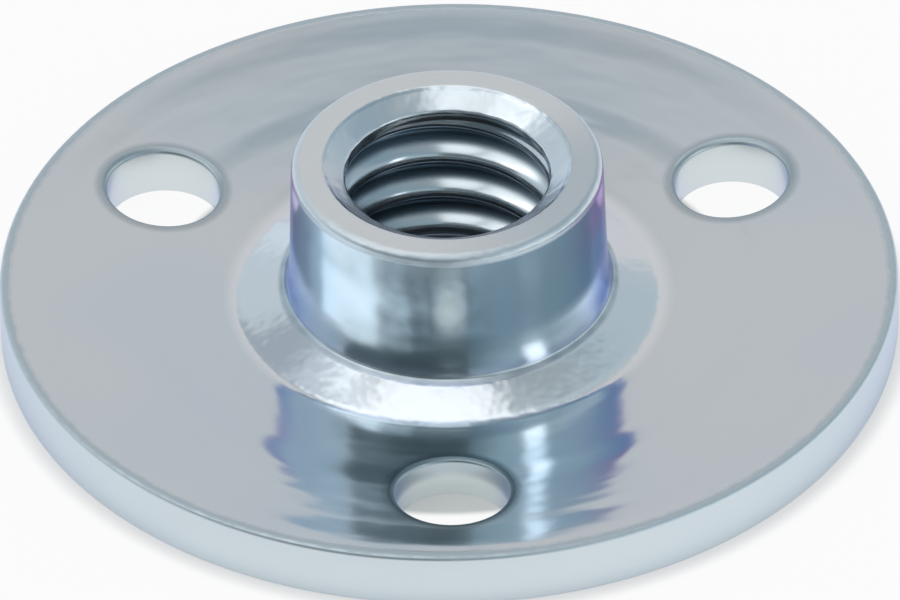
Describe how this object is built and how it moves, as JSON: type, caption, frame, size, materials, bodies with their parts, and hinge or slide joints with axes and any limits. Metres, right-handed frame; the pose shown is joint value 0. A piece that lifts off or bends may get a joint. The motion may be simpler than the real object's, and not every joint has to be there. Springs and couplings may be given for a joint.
{
  "type": "tee nut",
  "caption": "Screw-on tee nut: a round flat base with screw holes and a drawn, threaded barrel with a countersunk mouth.",
  "frame": {"origin": "centre of the round base's underside", "axes": "+Z along the barrel, from the base to the barrel's open end; -Y towards the first screw hole"},
  "size_m": [0.0286, 0.0286, 0.0065],
  "materials": {
    "zinc_plate": "bright zinc plate with a thin blue passivation, on drawn sheet steel"
  },
  "bodies": {
    "root": {"tee_nut": "zinc_plate"}
  },
  "joints": []
}
